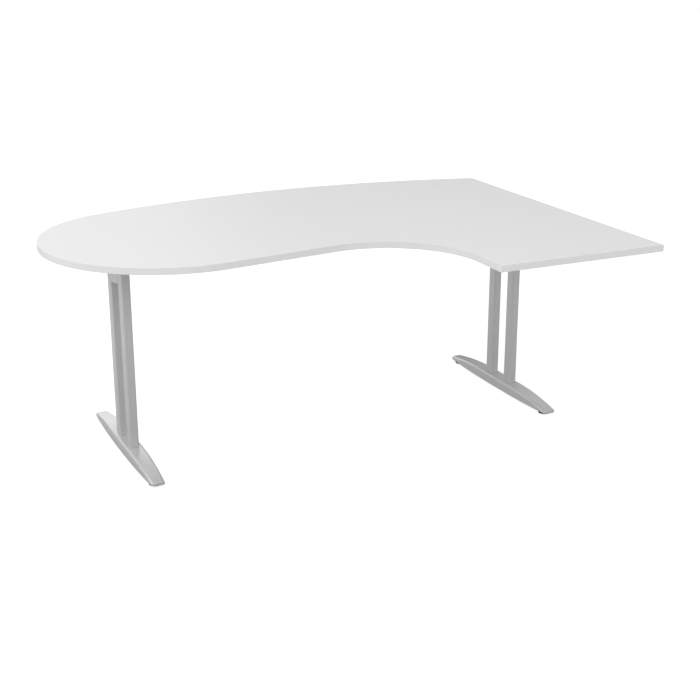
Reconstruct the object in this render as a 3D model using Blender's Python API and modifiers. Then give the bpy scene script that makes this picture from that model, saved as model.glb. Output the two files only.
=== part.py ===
"""A compact corner desk: a wave-fronted top on two T-legs, with rails, screws and levelling glides.

Metres, +Z up. The origin is on the floor under the middle of the top, +X runs to the sitter's right
and -Y points at the sitter. Each piece is its own object, and each leg's pieces hang on one empty.
"""
import math

import bmesh
import bpy
from mathutils import Matrix, Vector

# Clearances and working values shared by every piece
GAP = 0.0003
OVERRUN = 0.004
WELD = 0.00001

# Straight faces in each round: full circles and studs, then quarter rounds at corners
ROUND_STEPS = 16
CORNER_STEPS = 3
BORE_CORNER_STEPS = 2
HEAD_CORNER_STEPS = 7

# Desktop, seen from above
DESK_HEIGHT = 0.720
TOP_WIDTH = 1.800
SIDE_DEPTH = 1.200
WING_WIDTH = 0.600
NECK_DEPTH = 0.760
WAVE_RADIUS = 0.300
LEAST_WING_STRAIGHT = 0.040
END_RADIUS = 0.420
END_SETBACK = 0.400
BOW_RADIUS = 2.520
BOARD_THICKNESS = 0.022
EDGING = 0.002
EDGE_ROUND = 0.0008
EDGE_ROUND_SHARE = 0.5
WAVE_STEPS = 16
END_FRONT_STEPS = 20
END_REAR_STEPS = 16
BOW_STEPS = 24

# Legs: places in the desk, then the sections of their parts
LEG_INSET = 0.100
LEG_SPACING = 1.460
LEG_SETBACK = 0.425
UPRIGHT_WIDTH = 0.030
UPRIGHT_DEPTH = 0.040
UPRIGHT_WALL = 0.002
UPRIGHT_CORNER = 0.004
UPRIGHT_PITCH = 0.126
PLUG_THICKNESS = 0.012
PLUG_CORNER = 0.002

# Support arms under the top
ARM_WALL = 0.0025
ARM_DEPTH = 0.040
ARM_TIP_DEPTH = 0.016
ARM_FULL_HALF = 0.160
ARM_REAR_REACH = 0.240
ARM_FRONT_REACH = {"left": 0.240, "right": 0.625}

# Head block that ties the two uprights under the arm
HEAD_DROP = 0.139
HEAD_RISE = 0.012
HEAD_WALL = 0.003
HEAD_CORNER = {"front": 0.008, "rear": 0.012}

# Foot
FOOT_HALF = 0.340
FOOT_FLAT_HALF = 0.110
FOOT_TOP = 0.040
FOOT_TIP_TOP = 0.019
FOOT_RIM = 0.005
FOOT_TIP_RIM = 0.009
FOOT_WIDTH = 0.060
FOOT_TIP_WIDTH = 0.044
FOOT_WALL = 0.003
FOOT_EDGE_RADIUS = 0.008
FOOT_TIP_CORNER = 0.009
FOOT_NOSE_RADIUS = 0.003
FOOT_STATION_SHARES = (0.0, 0.16, 0.3235, 0.42, 0.52, 0.62, 0.72, 0.81, 0.89)
FOOT_TIP_SHARES = (0.0, 0.35, 0.6, 0.8, 0.93, 1.0)
FOOT_EDGE_STEPS = 4

# Rails between the legs
RAIL_HEIGHT = 0.040
RAIL_DEPTH = 0.020
RAIL_WALL = 0.0015
RAIL_CORNER = 0.003
RAIL_OFFSET = 0.115
RAIL_PLATE_THICKNESS = 0.003
RAIL_PLATE_WIDTH = 0.060
RAIL_PLATE_HEIGHT = 0.036
RAIL_BOLT_OFFSET = 0.020

# Screws and bolts: shank radius, shank length, head radius, head height, key socket radius and depth
FOOT_BOLT = {"shank": 0.004, "length": 0.018, "head": 0.0065, "height": 0.008, "key": 0.0034, "deep": 0.004}
RAIL_BOLT = {"shank": 0.003, "length": 0.012, "head": 0.0055, "height": 0.0034, "key": 0.0023,
             "deep": 0.0018}
BOARD_SCREW = {"shank": 0.0022, "length": 0.016, "head": 0.0045, "height": 0.0028, "key": 0.0016,
               "deep": 0.0014}
BOARD_SCREW_PLACES = {
    "left": (0.215, 0.115, -0.115, -0.215),
    "right": (0.215, 0.115, -0.115, -0.300, -0.450, -0.600),
}
SCREW_STEPS = 12
KEY_SIDES = 6

# Levelling glides
GLIDE_OFFSET = 0.302
GLIDE_STUD_RADIUS = 0.004
GLIDE_STUD_TOP = 0.0197
GLIDE_STUD_CHAMFER = 0.0008
GLIDE_SOCKET_FLOOR = 0.0022
INSERT_RADIUS = 0.007
INSERT_TOP = 0.0198
BOSS_RADIUS = 0.012
BOSS_FACE = 0.0085
PAD_RADIUS = 0.021
PAD_THICKNESS = 0.006
PAD_CHAMFER = 0.0008
PAD_HUB_RADIUS = 0.010
PAD_STEPS = 28

SIDES = ("left", "right")
ENDS = {"front": -1, "rear": 1}


def wave_geometry():
    """Centres and angles of the top's tangent arcs, with the rear right corner at the origin."""
    # The wave's hollow is a fillet, so it is no wider than the room between the wing and the round end
    side_room = SIDE_DEPTH - NECK_DEPTH - LEAST_WING_STRAIGHT
    front_room = TOP_WIDTH - WING_WIDTH - 2 * END_RADIUS
    wave_radius = min(WAVE_RADIUS, side_room, front_room)
    wave_centre = Vector((-WING_WIDTH - wave_radius, -NECK_DEPTH - wave_radius))
    end_centre = Vector((-TOP_WIDTH + END_RADIUS, -END_SETBACK))
    between = wave_centre - end_centre
    # The front line is the inner tangent of the wave arc and the round end
    slope = math.atan2(between.x, -between.y) - math.acos((wave_radius + END_RADIUS) / between.length)
    # The rear bow goes through the corner and is tangent to the round end from outside it
    bow_to_end = BOW_RADIUS - END_RADIUS
    away = end_centre.length
    along = (BOW_RADIUS ** 2 - bow_to_end ** 2 + away ** 2) / (2 * away)
    aside = math.sqrt(BOW_RADIUS ** 2 - along ** 2)
    ray = end_centre / away
    bow_centre = ray * along + Vector((-ray.y, ray.x)) * aside
    return wave_radius, wave_centre, end_centre, bow_centre, slope


HOLLOW_RADIUS, WAVE_CENTRE, END_CENTRE, BOW_CENTRE, FRONT_SLOPE = wave_geometry()
BOW_RISE = BOW_CENTRE.y + BOW_RADIUS
CORNER = Vector((TOP_WIDTH / 2, (SIDE_DEPTH + BOW_RISE) / 2 - BOW_RISE))

# Levels worked out from the sizes above
UNDERSIDE = DESK_HEIGHT - BOARD_THICKNESS
ARM_TOP = UNDERSIDE - GAP
ARM_SEAT = ARM_TOP - ARM_WALL
UPRIGHT_TOP = ARM_SEAT - GAP
UPRIGHT_BOTTOM = FOOT_TOP + GAP
HEAD_BOTTOM = DESK_HEIGHT - HEAD_DROP
ARM_WIDTH = UPRIGHT_WIDTH + 2 * GAP + 2 * ARM_WALL
LEG_Y = CORNER.y - LEG_SETBACK
LEG_X = {"right": CORNER.x - LEG_INSET, "left": CORNER.x - LEG_INSET - LEG_SPACING}
INWARD = {"left": 1, "right": -1}


def clear_scene():
    for item in list(bpy.data.objects):
        bpy.data.objects.remove(item, do_unlink=True)


def new_collection(name):
    group = bpy.data.collections.new(name)
    bpy.context.scene.collection.children.link(group)
    return group


def make_material(name, colour, roughness, metallic=0.0):
    material = bpy.data.materials.new(name)
    material.use_nodes = True
    shader = material.node_tree.nodes["Principled BSDF"]
    shader.inputs["Base Color"].default_value = (*colour, 1.0)
    shader.inputs["Roughness"].default_value = roughness
    shader.inputs["Metallic"].default_value = metallic
    return material


clear_scene()
PARTS = new_collection("compact_office_desk")
CUTTERS = new_collection("cutters")
WHITE_BOARD = make_material("white_melamine", (0.78, 0.78, 0.78), 0.45)
WHITE_EDGE = make_material("white_edging", (0.76, 0.76, 0.76), 0.40)
SILVER = make_material("silver_powder_coat", (0.42, 0.42, 0.42), 0.40, 0.3)
ZINC = make_material("zinc_plated_steel", (0.60, 0.61, 0.62), 0.30, 1.0)
BRASS = make_material("brass", (0.72, 0.56, 0.28), 0.30, 1.0)
BLACK = make_material("black_plastic", (0.025, 0.025, 0.025), 0.50)


def place(name, mesh, material, parent=None, at=(0, 0, 0), smooth=False):
    """A named piece of the desk from a mesh, at a place under its parent."""
    piece = bpy.data.objects.new(name, mesh)
    PARTS.objects.link(piece)
    piece.parent = parent
    piece.location = at
    if not mesh.materials:
        mesh.materials.append(material)
    if smooth:
        mesh.shade_smooth()
        mesh.set_sharp_from_angle(angle=math.radians(35))
    return piece


def cutter(name, mesh, parent=None, at=(0, 0, 0)):
    """A hidden solid that only cuts other pieces."""
    tool = bpy.data.objects.new(name, mesh)
    CUTTERS.objects.link(tool)
    tool.parent = parent
    tool.location = at
    tool.hide_render = True
    tool.display_type = "WIRE"
    return tool


def cut(piece, tool):
    modifier = piece.modifiers.new(tool.name, "BOOLEAN")
    modifier.operation = "DIFFERENCE"
    modifier.solver = "EXACT"
    modifier.object = tool


def empty(name, at, parent=None):
    frame = bpy.data.objects.new(name, None)
    PARTS.objects.link(frame)
    frame.parent = parent
    frame.location = at
    return frame


def plate(outlines, thickness):
    """Flat outlines in XY, the first one filled and the others left as holes, thickened up from z = 0."""
    curve = bpy.data.curves.new("outline", "CURVE")
    curve.dimensions = "2D"
    curve.fill_mode = "BOTH"
    curve.extrude = thickness / 2
    for outline in outlines:
        spline = curve.splines.new("POLY")
        spline.points.add(len(outline) - 1)
        for point, (x, y) in zip(spline.points, outline):
            point.co = (x, y, 0, 1)
        spline.use_cyclic_u = True
    holder = bpy.data.objects.new("outline", curve)
    CUTTERS.objects.link(holder)
    bpy.context.view_layer.update()
    evaluated = holder.evaluated_get(bpy.context.evaluated_depsgraph_get())
    mesh = bpy.data.meshes.new_from_object(evaluated)
    bpy.data.objects.remove(holder, do_unlink=True)
    bpy.data.curves.remove(curve)
    shape = bmesh.new()
    shape.from_mesh(mesh)
    bmesh.ops.remove_doubles(shape, verts=shape.verts, dist=WELD)
    bmesh.ops.translate(shape, verts=shape.verts, vec=(0, 0, thickness / 2))
    bmesh.ops.recalc_face_normals(shape, faces=shape.faces)
    shape.to_mesh(mesh)
    shape.free()
    return mesh


def turn_along_x(mesh, middle):
    """Lay a plate on its side: its own X, Y and Z become Y, Z and X, with its middle at x = middle."""
    thickness = max(v.co.z for v in mesh.vertices)
    mesh.transform(Matrix(((0, 0, 1, middle - thickness / 2), (1, 0, 0, 0), (0, 1, 0, 0), (0, 0, 0, 1))))
    return mesh


def circle(radius, steps=ROUND_STEPS, centre=(0, 0)):
    turns = (2 * math.pi * i / steps for i in range(steps))
    return [(centre[0] + radius * math.cos(t), centre[1] + radius * math.sin(t)) for t in turns]


def arc(centre, radius, start, end, steps):
    """Points on an arc from the angle start to the angle end."""
    turns = (start + (end - start) * i / steps for i in range(steps + 1))
    return [Vector((centre.x + radius * math.cos(t), centre.y + radius * math.sin(t))) for t in turns]


def rounded_rectangle(width, depth, corner, steps=CORNER_STEPS):
    """A rectangle about the origin with round corners, counter-clockwise."""
    points = []
    for quarter, (sx, sy) in enumerate(((1, 1), (-1, 1), (-1, -1), (1, -1))):
        middle = Vector((sx * (width / 2 - corner), sy * (depth / 2 - corner)))
        start = quarter * math.pi / 2
        points += arc(middle, corner, start, start + math.pi / 2, steps)
    return points


def turned(name, profile, steps):
    """A mesh turned about Z from (radius, height) points that run down the outer side."""
    mesh = bpy.data.meshes.new(name)
    mesh.from_pydata([(r, 0, z) for r, z in profile], [(i, i + 1) for i in range(len(profile) - 1)], [])
    holder = bpy.data.objects.new(name, mesh)
    CUTTERS.objects.link(holder)
    screw = holder.modifiers.new("turn", "SCREW")
    screw.steps = steps
    screw.render_steps = steps
    screw.use_merge_vertices = True
    screw.merge_threshold = WELD
    bpy.context.view_layer.update()
    evaluated = holder.evaluated_get(bpy.context.evaluated_depsgraph_get())
    solid = bpy.data.meshes.new_from_object(evaluated)
    bpy.data.objects.remove(holder, do_unlink=True)
    bpy.data.meshes.remove(mesh)
    return solid


def cylinder(name, radius, low, high, steps=ROUND_STEPS):
    return turned(name, ((0, high), (radius, high), (radius, low), (0, low)), steps)


def joined(name, meshes_and_places):
    """One mesh that holds several meshes, each moved to its place."""
    shape = bmesh.new()
    for mesh, at in meshes_and_places:
        start = len(shape.verts)
        shape.from_mesh(mesh)
        shape.verts.ensure_lookup_table()
        bmesh.ops.translate(shape, verts=shape.verts[start:], vec=at)
    whole = bpy.data.meshes.new(name)
    shape.to_mesh(whole)
    shape.free()
    return whole


def top_runs(inset):
    """The top's outline drawn in by an inset: four runs that meet at the corners and the rear joint."""
    corner_run = BOW_RADIUS - inset
    rear_y = BOW_CENTRE.y + math.sqrt(corner_run ** 2 - (-inset - BOW_CENTRE.x) ** 2)
    rear_right = Vector((-inset, rear_y))
    front_right = Vector((-inset, -SIDE_DEPTH + inset))
    front_left = Vector((-WING_WIDTH + inset, -SIDE_DEPTH + inset))
    joint_turn = math.atan2(END_CENTRE.y - BOW_CENTRE.y, END_CENTRE.x - BOW_CENTRE.x)
    wave_turn = math.pi / 2 + FRONT_SLOPE
    wave = arc(WAVE_CENTRE, HOLLOW_RADIUS + inset, 0, wave_turn, WAVE_STEPS)
    end = arc(END_CENTRE, END_RADIUS - inset, wave_turn - math.pi, -math.pi, END_FRONT_STEPS)
    end += arc(END_CENTRE, END_RADIUS - inset, math.pi, joint_turn, END_REAR_STEPS)[1:]
    corner_turn = math.atan2(rear_right.y - BOW_CENTRE.y, rear_right.x - BOW_CENTRE.x)
    bow = arc(BOW_CENTRE, corner_run, joint_turn, corner_turn, BOW_STEPS)
    return {
        "right": [rear_right, front_right],
        "front": [front_right, front_left],
        "wave": [front_left] + wave + end,
        "back": bow,
    }


def in_desk_frame(points):
    return [(p.x + CORNER.x, p.y + CORNER.y) for p in points]


def drawn_back(run, amount):
    """A run of points with both of its ends pulled back along the run."""
    first = run[0] + (run[1] - run[0]).normalized() * amount
    last = run[-1] + (run[-2] - run[-1]).normalized() * amount
    return [first] + run[1:-1] + [last]


def round_outer_edges(mesh, outer):
    """Break the long upper and lower edges on the outer face of an edging strip."""
    shape = bmesh.new()
    shape.from_mesh(mesh)
    near = [Vector(p) for p in outer]

    def on_outer_face(vertex):
        return min((vertex.co.xy - p).length for p in near) < WELD

    outer_verts = {v for v in shape.verts if on_outer_face(v)}
    long_edges = [e for e in shape.edges if set(e.verts) <= outer_verts and is_long(e)]
    bmesh.ops.bevel(shape, geom=long_edges, offset=EDGE_ROUND, segments=2, profile=EDGE_ROUND_SHARE,
                     affect="EDGES")
    shape.to_mesh(mesh)
    shape.free()


def is_long(edge):
    """True for an edge that runs level along the top or bottom of the strip's outer face."""
    a, b = (v.co for v in edge.verts)
    level = abs(a.z - b.z) < WELD
    faces = [f.normal for f in edge.link_faces]
    return level and any(abs(n.z) > 0.9 for n in faces) and any(abs(n.z) < 0.1 for n in faces)


def build_desktop():
    """The coated board and the four strips of edging around it."""
    runs = top_runs(EDGING + GAP)
    outline = runs["right"][:-1] + runs["front"][:-1] + runs["wave"][:-1] + runs["back"][:-1]
    core_mesh = plate([in_desk_frame(outline)], BOARD_THICKNESS)
    core = place("desktop_core", core_mesh, WHITE_BOARD, at=(0, 0, UNDERSIDE))
    pilots = []
    for side in SIDES:
        for offset in BOARD_SCREW_PLACES[side]:
            depth = BOARD_SCREW["length"] - ARM_WALL + OVERRUN / 2
            hole = cylinder("pilot", BOARD_SCREW["shank"] + GAP, -OVERRUN, depth, SCREW_STEPS)
            pilots.append((hole, (LEG_X[side], LEG_Y + offset, 0)))
    cut(core, cutter("board_pilot_holes", joined("board_pilot_holes", pilots), at=(0, 0, UNDERSIDE)))
    outer_runs = top_runs(0)
    inner_runs = top_runs(EDGING)
    for side, outer in outer_runs.items():
        face = in_desk_frame(drawn_back(outer, GAP))
        back = in_desk_frame(drawn_back(inner_runs[side], GAP))
        strip = plate([face + back[::-1]], BOARD_THICKNESS)
        round_outer_edges(strip, face)
        place("edge_band_" + side, strip, WHITE_EDGE, at=(0, 0, UNDERSIDE), smooth=True)


def arm_outline(side):
    """Side view of a support arm: full depth over the leg, tapered to both tips."""
    front, rear = -ARM_FRONT_REACH[side], ARM_REAR_REACH
    return [(rear, 0), (front, 0), (front, -ARM_TIP_DEPTH), (-ARM_FULL_HALF, -ARM_DEPTH),
            (ARM_FULL_HALF, -ARM_DEPTH), (rear, -ARM_TIP_DEPTH)]


def build_arm(side, leg):
    """A folded channel, open below, that carries the top and straddles both uprights."""
    arm = place("support_arm_" + side, turn_along_x(plate([arm_outline(side)], ARM_WIDTH), 0), SILVER, leg,
                (0, 0, ARM_TOP))
    front = -ARM_FRONT_REACH[side] - OVERRUN
    rear = ARM_REAR_REACH + OVERRUN
    low = -ARM_DEPTH - OVERRUN
    hollow_outline = [(rear, -ARM_WALL), (front, -ARM_WALL), (front, low), (rear, low)]
    hollow = turn_along_x(plate([hollow_outline], ARM_WIDTH - 2 * ARM_WALL), 0)
    cut(arm, cutter("arm_hollow_" + side, hollow, leg, (0, 0, ARM_TOP)))
    web_hole = cylinder("web_hole", BOARD_SCREW["shank"] + GAP, -ARM_WALL - OVERRUN, OVERRUN, SCREW_STEPS)
    holes = [(web_hole, (0, offset, 0)) for offset in BOARD_SCREW_PLACES[side]]
    reach = ARM_WIDTH / 2 + OVERRUN
    flange_hole = cylinder("flange_hole", RAIL_BOLT["shank"] + GAP, 0, reach, SCREW_STEPS)
    flange_hole.transform(Matrix.Rotation(INWARD[side] * math.pi / 2, 4, "Y"))
    holes += [(flange_hole, (0, y, -ARM_DEPTH / 2)) for y in rail_bolt_places()]
    cut(arm, cutter("arm_holes_" + side, joined("arm_holes", holes), leg, (0, 0, ARM_TOP)))


def rail_bolt_places():
    """Distances along Y from the leg's middle to the bolts of both rails."""
    return [end * RAIL_OFFSET + across * RAIL_BOLT_OFFSET for end in ENDS.values() for across in (-1, 1)]


def build_uprights(side, leg, tube, plug):
    for end, way in ENDS.items():
        at_y = way * UPRIGHT_PITCH / 2
        place(f"upright_{side}_{end}", tube, SILVER, leg, (0, at_y, UPRIGHT_BOTTOM), smooth=True)
        place(f"upright_plug_{side}_{end}", plug, ZINC, leg, (0, at_y, UPRIGHT_BOTTOM), smooth=True)


def upright_tube():
    outer = rounded_rectangle(UPRIGHT_WIDTH, UPRIGHT_DEPTH, UPRIGHT_CORNER)
    inner = rounded_rectangle(UPRIGHT_WIDTH - 2 * UPRIGHT_WALL, UPRIGHT_DEPTH - 2 * UPRIGHT_WALL,
                              UPRIGHT_CORNER - UPRIGHT_WALL, BORE_CORNER_STEPS)
    return plate([outer, inner], UPRIGHT_TOP - UPRIGHT_BOTTOM)


def upright_plug():
    """The threaded steel block pressed into the foot of each upright."""
    play = 2 * (UPRIGHT_WALL + GAP)
    block = rounded_rectangle(UPRIGHT_WIDTH - play, UPRIGHT_DEPTH - play, PLUG_CORNER, BORE_CORNER_STEPS)
    return plate([block, circle(FOOT_BOLT["shank"] + GAP)], PLUG_THICKNESS)


def build_head_block(side, leg):
    """A pressed tray between the uprights, closed on its outer face and open towards the knees.

    Its lower edge rises towards the front, and its lower corners are arcs that this edge touches."""
    half = (UPRIGHT_PITCH - UPRIGHT_DEPTH) / 2 - GAP
    height = UPRIGHT_TOP - HEAD_BOTTOM

    def tray_outline(wall):
        front, rear = HEAD_CORNER["front"], HEAD_CORNER["rear"]
        low_front = Vector((-half + front, HEAD_RISE + front))
        low_rear = Vector((half - rear, rear))
        run = low_rear - low_front
        touch = math.atan2(run.y, run.x) - math.acos((front - rear) / run.length)
        front_round = arc(low_front, front - wall, -math.pi, touch, HEAD_CORNER_STEPS)
        rear_round = arc(low_rear, rear - wall, touch, 0, HEAD_CORNER_STEPS)
        return front_round + rear_round + [(half - wall, height - wall), (-half + wall, height - wall)]

    body = turn_along_x(plate([tray_outline(0)], UPRIGHT_WIDTH), 0)
    block = place("head_block_" + side, body, SILVER, leg, (0, 0, HEAD_BOTTOM), smooth=True)
    middle = INWARD[side] * (HEAD_WALL + OVERRUN) / 2
    pocket = turn_along_x(plate([tray_outline(HEAD_WALL)], UPRIGHT_WIDTH - HEAD_WALL + OVERRUN), middle)
    cut(block, cutter("head_pocket_" + side, pocket, leg, (0, 0, HEAD_BOTTOM)))


def foot_section(y, wall):
    """One arched cross-section of the foot at a distance y from its middle, drawn in by a wall."""
    reach = FOOT_HALF - wall
    share = min(abs(y) / FOOT_HALF, 1)
    half = (FOOT_TIP_WIDTH + (FOOT_WIDTH - FOOT_TIP_WIDTH) * (1 - share ** 2)) / 2 - wall
    past = max(abs(y) - FOOT_FLAT_HALF, 0) / (FOOT_HALF - FOOT_FLAT_HALF)
    top = FOOT_TOP - (FOOT_TOP - FOOT_TIP_TOP) * past ** 2 - wall
    rim = FOOT_RIM + (FOOT_TIP_RIM - FOOT_RIM) * past ** 2
    half -= quarter_drop(abs(y) - (reach - FOOT_TIP_CORNER), FOOT_TIP_CORNER)
    top -= quarter_drop(abs(y) - (reach - FOOT_NOSE_RADIUS), FOOT_NOSE_RADIUS)
    radius = min(FOOT_EDGE_RADIUS - wall, top - rim - wall / 2)
    turns = [math.pi / 2 * i / FOOT_EDGE_STEPS for i in range(FOOT_EDGE_STEPS + 1)]
    right = [(half - radius * (1 - math.cos(t)), top - radius * (1 - math.sin(t))) for t in turns]
    low = rim if wall == 0 else -OVERRUN
    points = [(half, low)] + right + [(-x, z) for x, z in right[::-1]] + [(-half, low)]
    return [(x, y, z) for x, z in points]


def quarter_drop(past, radius):
    """How far a quarter round has fallen at a distance past its start."""
    past = min(max(past, 0), radius)
    return radius - math.sqrt(radius ** 2 - past ** 2)


def foot_body(name, wall):
    """A closed loft through the foot's sections: smooth along its length, round at both tips."""
    reach = FOOT_HALF - wall
    plain = [share * FOOT_HALF for share in FOOT_STATION_SHARES]
    tip = [reach - FOOT_TIP_CORNER * (1 - share) for share in FOOT_TIP_SHARES]
    half_stations = plain + [y for y in tip if y > plain[-1]]
    stations = [-y for y in half_stations[:0:-1]] + half_stations
    sections = [foot_section(y, wall) for y in stations]
    count = len(sections[0])
    faces = []
    for i in range(len(sections) - 1):
        for j in range(count):
            k = (j + 1) % count
            faces.append((i * count + j, i * count + k, (i + 1) * count + k, (i + 1) * count + j))
    faces.append(tuple(range(count)))
    faces.append(tuple((len(sections) - 1) * count + j for j in range(count)))
    mesh = bpy.data.meshes.new(name)
    mesh.from_pydata([p for section in sections for p in section], [], faces)
    shape = bmesh.new()
    shape.from_mesh(mesh)
    bmesh.ops.recalc_face_normals(shape, faces=shape.faces)
    shape.to_mesh(mesh)
    shape.free()
    return mesh


def build_foot(side, leg, body, pocket, bosses, bores):
    """A pressed foot, hollow below, with a threaded boss at each end and a bolt hole under each upright."""
    foot = place("foot_" + side, body, SILVER, leg, smooth=True)
    hollow = cutter("foot_pocket_" + side, pocket, leg)
    cut(hollow, cutter("foot_bosses_" + side, bosses, leg))
    cut(foot, hollow)
    cut(foot, cutter("foot_bores_" + side, bores, leg))


def foot_cutters():
    """The foot's bosses, which the pocket leaves standing, and every hole in the foot."""
    boss = cylinder("boss", BOSS_RADIUS, -2 * OVERRUN, FOOT_TOP)
    facing = cylinder("facing", BOSS_RADIUS, -OVERRUN, BOSS_FACE)
    seat = cylinder("insert_seat", INSERT_RADIUS + GAP, -2 * OVERRUN, INSERT_TOP + GAP)
    bolt_hole = cylinder("bolt_hole", FOOT_BOLT["shank"] + GAP, FOOT_TOP / 2, FOOT_TOP + OVERRUN)
    glides = [(0, way * GLIDE_OFFSET, 0) for way in ENDS.values()]
    bolts = [(0, way * UPRIGHT_PITCH / 2, 0) for way in ENDS.values()]
    bosses = joined("foot_bosses", [(boss, at) for at in glides])
    faced = [(facing, at) for at in glides]
    bores = joined("foot_bores", [(seat, at) for at in glides] + [(bolt_hole, at) for at in bolts])
    return bosses, joined("boss_faces", faced), bores


def build_screw(name, size, material, parent, at, turn=None):
    """A screw along +Z with its head below z = 0 and a six-sided key socket in the head."""
    tip = size["shank"] / 2
    profile = ((0, size["length"]), (tip, size["length"]), (size["shank"], size["length"] - tip),
               (size["shank"], 0), (size["head"], 0), (size["head"], -size["height"]), (0, -size["height"]))
    screw = place(name, turned(name, profile, SCREW_STEPS), material, parent, at, smooth=True)
    key = cylinder("key", size["key"], -size["height"] - OVERRUN, -size["height"] + size["deep"], KEY_SIDES)
    socket = cutter("key_" + name, key, parent, at)
    if turn:
        screw.rotation_euler = turn
        socket.rotation_euler = turn
    cut(screw, socket)
    return screw


def build_leg_screws(side, leg):
    for end, way in ENDS.items():
        under_foot_top = FOOT_TOP - FOOT_WALL - GAP
        at = (0, way * UPRIGHT_PITCH / 2, under_foot_top)
        build_screw(f"foot_bolt_{side}_{end}", FOOT_BOLT, ZINC, leg, at)
    for number, offset in enumerate(BOARD_SCREW_PLACES[side], 1):
        build_screw(f"board_screw_{side}_{number}", BOARD_SCREW, ZINC, leg, (0, offset, ARM_SEAT - GAP))


def build_rails():
    """Two rectangular tubes between the arms, each with a bolted plate at both ends."""
    inner_face = {side: LEG_X[side] + INWARD[side] * (ARM_WIDTH / 2 + GAP) for side in SIDES}
    plate_face = {side: inner_face[side] + INWARD[side] * (RAIL_PLATE_THICKNESS + GAP) for side in SIDES}
    length = plate_face["right"] - plate_face["left"]
    middle = (plate_face["right"] + plate_face["left"]) / 2
    level = ARM_TOP - GAP - RAIL_HEIGHT / 2
    outer = rounded_rectangle(RAIL_DEPTH, RAIL_HEIGHT, RAIL_CORNER)
    inner = rounded_rectangle(RAIL_DEPTH - 2 * RAIL_WALL, RAIL_HEIGHT - 2 * RAIL_WALL,
                              RAIL_CORNER - RAIL_WALL, BORE_CORNER_STEPS)
    tube = turn_along_x(plate([outer, inner], length), 0)
    half_width, half_height = RAIL_PLATE_WIDTH / 2, RAIL_PLATE_HEIGHT / 2
    corners = [(half_width, half_height), (-half_width, half_height), (-half_width, -half_height),
               (half_width, -half_height)]
    holes = [circle(RAIL_BOLT["shank"] + GAP, SCREW_STEPS, (way * RAIL_BOLT_OFFSET, 0)) for way in (-1, 1)]
    end_plate = turn_along_x(plate([corners] + holes, RAIL_PLATE_THICKNESS), 0)
    for end, way in ENDS.items():
        y = LEG_Y + way * RAIL_OFFSET
        place("rail_" + end, tube, SILVER, at=(middle, y, level), smooth=True)
        for side in SIDES:
            plate_x = inner_face[side] + INWARD[side] * RAIL_PLATE_THICKNESS / 2
            bolt_level = ARM_TOP - ARM_DEPTH / 2
            place(f"rail_plate_{end}_{side}", end_plate, SILVER, at=(plate_x, y, bolt_level), smooth=True)
            for number, across in enumerate((-1, 1), 1):
                at = (plate_face[side], y + across * RAIL_BOLT_OFFSET, bolt_level)
                turn = (0, -INWARD[side] * math.pi / 2, 0)
                build_screw(f"rail_bolt_{end}_{side}_{number}", RAIL_BOLT, ZINC, None, at, turn)


def pad_mesh():
    """The moulded pad: a disc on the floor with a hub that stops against the foot's boss."""
    hub_top = BOSS_FACE - GAP
    profile = ((0, hub_top), (PAD_HUB_RADIUS, hub_top), (PAD_HUB_RADIUS, PAD_THICKNESS),
               (PAD_RADIUS - PAD_CHAMFER, PAD_THICKNESS), (PAD_RADIUS, PAD_THICKNESS - PAD_CHAMFER),
               (PAD_RADIUS, PAD_CHAMFER), (PAD_RADIUS - PAD_CHAMFER, 0), (0, 0))
    return turned("glide_pad", profile, PAD_STEPS)


def stud_mesh():
    low = GLIDE_SOCKET_FLOOR + GAP
    soft = GLIDE_STUD_RADIUS - GLIDE_STUD_CHAMFER
    profile = ((0, GLIDE_STUD_TOP), (soft, GLIDE_STUD_TOP),
               (GLIDE_STUD_RADIUS, GLIDE_STUD_TOP - GLIDE_STUD_CHAMFER),
               (GLIDE_STUD_RADIUS, low + GLIDE_STUD_CHAMFER), (soft, low), (0, low))
    return turned("glide_stud", profile, ROUND_STEPS)


def build_glide(side, end, leg, meshes):
    """A pad and its threaded stud on one empty, which slides along Z, and the insert fixed in the boss."""
    at = (0, ENDS[end] * GLIDE_OFFSET, 0)
    insert_low = BOSS_FACE + GAP
    name = f"{side}_{end}"
    place("glide_insert_" + name, meshes["insert"], BRASS, leg, (at[0], at[1], insert_low), smooth=True)
    axis = empty("glide_axis_" + name, at, leg)
    pad = place("glide_pad_" + name, meshes["pad"], BLACK, axis, smooth=True)
    cut(pad, cutter("glide_socket_" + name, meshes["socket"], axis))
    place("glide_stud_" + name, meshes["stud"], ZINC, axis, smooth=True)


def build_legs():
    tube, plug = upright_tube(), upright_plug()
    body, pocket = foot_body("foot", 0), foot_body("foot_pocket", FOOT_WALL)
    bosses, faces, bores = foot_cutters()
    ring = [circle(INSERT_RADIUS), circle(GLIDE_STUD_RADIUS + GAP)]
    glide = {
        "pad": pad_mesh(),
        "stud": stud_mesh(),
        "insert": plate(ring, INSERT_TOP - BOSS_FACE - GAP),
        "socket": cylinder("socket", GLIDE_STUD_RADIUS + GAP, GLIDE_SOCKET_FLOOR, BOSS_FACE + OVERRUN),
    }
    for side in SIDES:
        leg = empty("leg_" + side, (LEG_X[side], LEG_Y, 0))
        build_arm(side, leg)
        build_uprights(side, leg, tube, plug)
        build_head_block(side, leg)
        build_foot(side, leg, body, pocket, bosses, bores)
        cut(bpy.data.objects["foot_" + side], cutter("boss_faces_" + side, faces, leg))
        build_leg_screws(side, leg)
        for end in ENDS:
            build_glide(side, end, leg, glide)


build_desktop()
build_legs()
build_rails()
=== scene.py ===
# %% [markdown]
# # A corner desk in Blender
#
# The desk is a white wave-fronted top on two silver T-legs. This notebook dresses its CAD model: each cell
# says what a piece is on the real desk, how its surface can be worked out, and why that way was taken.
# Lengths are metres, +Z is up, the floor is z = 0, +X is the sitter's right and -Y points at the sitter.

# %% Load the frame
import math

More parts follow.
